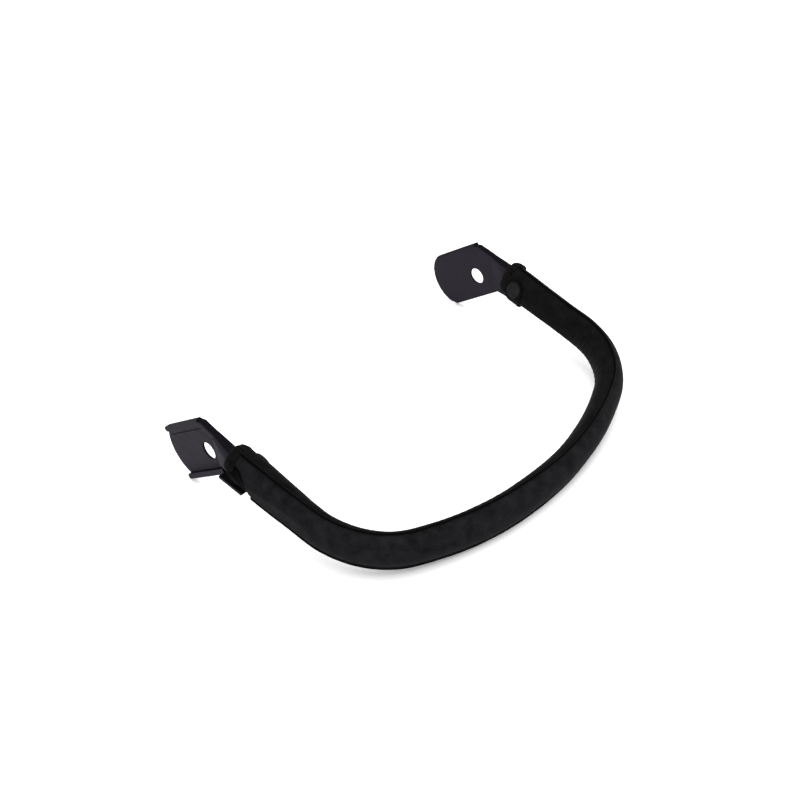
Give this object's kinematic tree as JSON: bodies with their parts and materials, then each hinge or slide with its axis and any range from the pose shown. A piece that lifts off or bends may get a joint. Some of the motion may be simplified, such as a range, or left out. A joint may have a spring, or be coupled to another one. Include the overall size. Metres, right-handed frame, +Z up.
{
  "type": "padded grab bar",
  "caption": "U-shaped tube in a foam and fabric sleeve, with drooping moulded end brackets that have mounting holes, and press-stud tabs at the sleeve's ends.",
  "frame": {"origin": "under the middle of the part's box, on the surface it lies on", "axes": "+X across the bar from the left bracket to the right one, +Y towards the brackets, +Z up; the bar lies on its front and on the brackets' lower edges"},
  "size_m": [0.3816, 0.2952, 0.0846],
  "materials": {
    "moulding": "satin dark grey moulded nylon",
    "fabric": "black woven polyester",
    "foam": "black closed-cell foam",
    "tube": "plain drawn tube",
    "rivet": "plain",
    "snap": "dark painted press stud"
  },
  "bodies": {
    "bar": {"core_tube": "tube", "foam_pad": "foam", "sleeve_outer_panel": "fabric", "sleeve_inner_panel": "fabric", "top_seam_welt": "fabric", "lower_seam_welt": "fabric", "hem_band_left": "fabric", "hem_band_right": "fabric", "end_bracket_left": "moulding", "end_bracket_right": "moulding", "cross_rivet_left_1": "rivet", "cross_rivet_left_2": "rivet", "cross_rivet_right_1": "rivet", "cross_rivet_right_2": "rivet", "press_stud_left": "snap", "press_stud_right": "snap", "stud_eyelet_left": "snap", "stud_eyelet_right": "snap"},
    "left_tab": {"snap_tab_left": "fabric", "snap_socket_left": "snap", "snap_cap_left": "snap"},
    "right_tab": {"snap_tab_right": "fabric", "snap_socket_right": "snap", "snap_cap_right": "snap"}
  },
  "joints": [
    {"name": "left_tab_fold", "type": "hinge", "parent": "bar", "child": "left_tab", "pos_m": [-0.16978, 0.03506, 0.03944], "axis": [-0.061, 0.9722, 0.2262], "range_deg": [0, 110]},
    {"name": "right_tab_fold", "type": "hinge", "parent": "bar", "child": "right_tab", "pos_m": [0.16978, 0.03506, 0.03944], "axis": [-0.061, -0.9722, -0.2262], "range_deg": [0, 110]}
  ]
}
